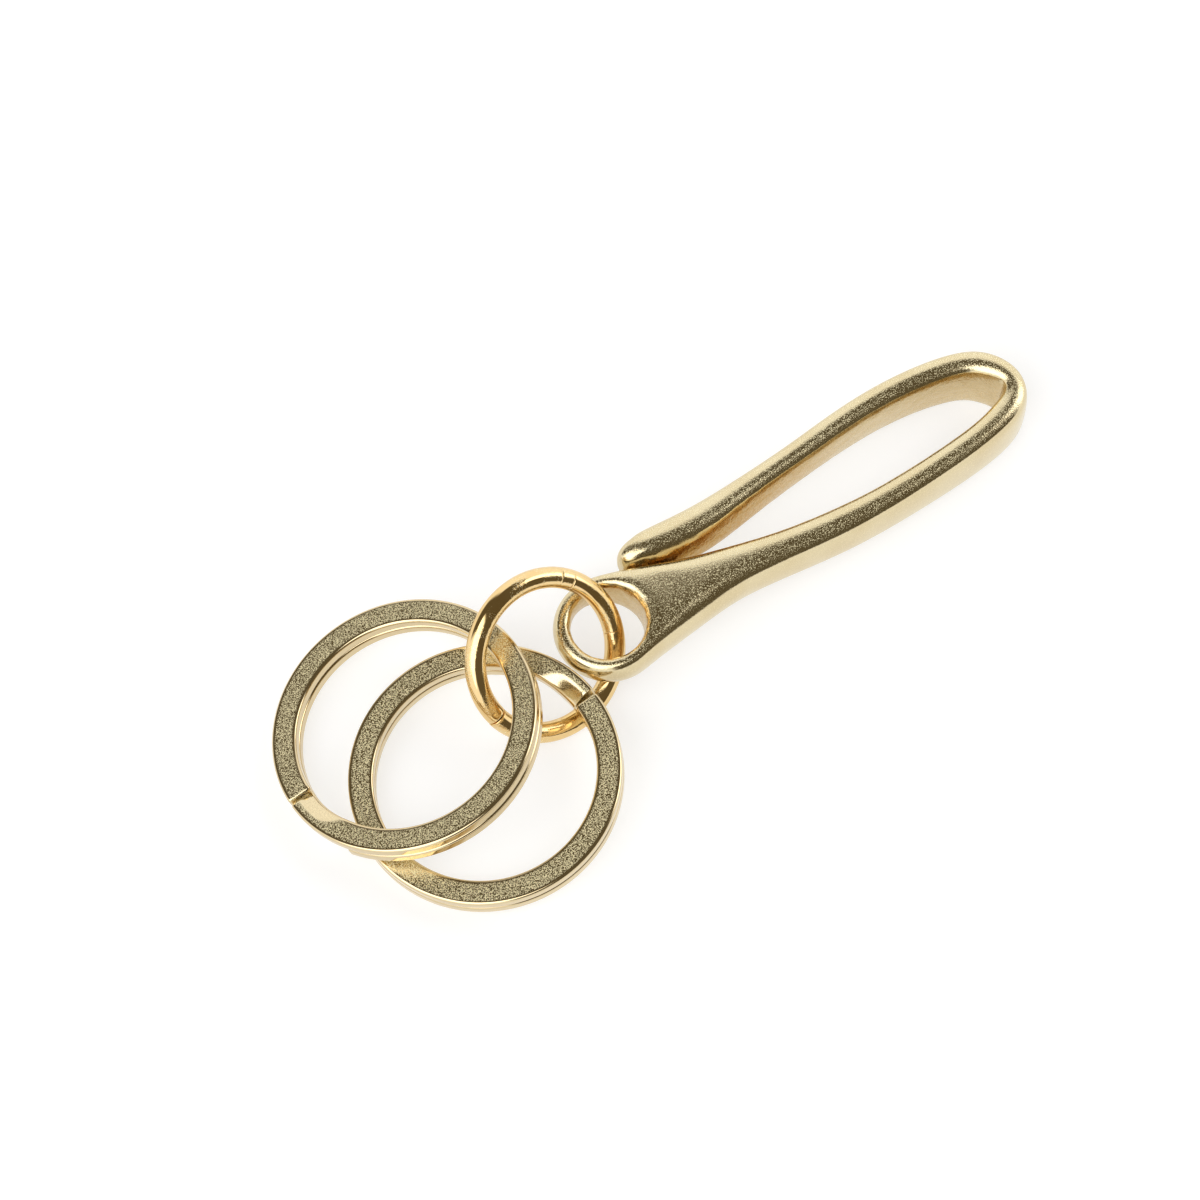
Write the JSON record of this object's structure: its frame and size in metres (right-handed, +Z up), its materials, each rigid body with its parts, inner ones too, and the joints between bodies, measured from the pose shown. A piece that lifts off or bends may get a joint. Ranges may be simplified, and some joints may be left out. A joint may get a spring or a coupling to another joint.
{
  "type": "key ring",
  "caption": "Brass key ring: a curved pocket hook with an open mouth beside its shank, a round wire ring through its eye, and flat split rings lying on each other",
  "frame": {"origin": "middle of the whole in X and Y, at the height of the table it lies on", "axes": "+X along the hook from its eye to its bend, +Y towards the side of the hook's prong, +Z up from the table"},
  "size_m": [0.0952, 0.0384, 0.0146],
  "materials": {
    "cast_brass": "tumbled casting with a fine grain",
    "wire_brass": "polished round wire",
    "coil_brass": "fine-grained flat faces with polished edges"
  },
  "bodies": {
    "hook": {"fish_hook": "cast_brass"},
    "link": {"link_ring": "wire_brass"},
    "upper_ring": {"upper_split_ring": "coil_brass"},
    "lower_ring": {"lower_split_ring": "coil_brass"}
  },
  "joints": [
    {"name": "link_swing", "type": "hinge", "parent": "hook", "child": "link", "pos_m": [-0.013, 0.00314, 0.00575], "axis": [0.981, 0.1942, 0], "range_deg": [-1, 85]},
    {"name": "upper_ring_swing", "type": "hinge", "parent": "link", "child": "upper_ring", "pos_m": [-0.02408, 0.00115, 0.00684], "axis": [0.7986, 0.6018, 0], "range_deg": [0, 30]},
    {"name": "lower_ring_swing", "type": "hinge", "parent": "link", "child": "lower_ring", "pos_m": [-0.02249, -0.00111, 0.00433], "axis": [-0.866, -0.5, 0], "range_deg": [0, 55]}
  ]
}
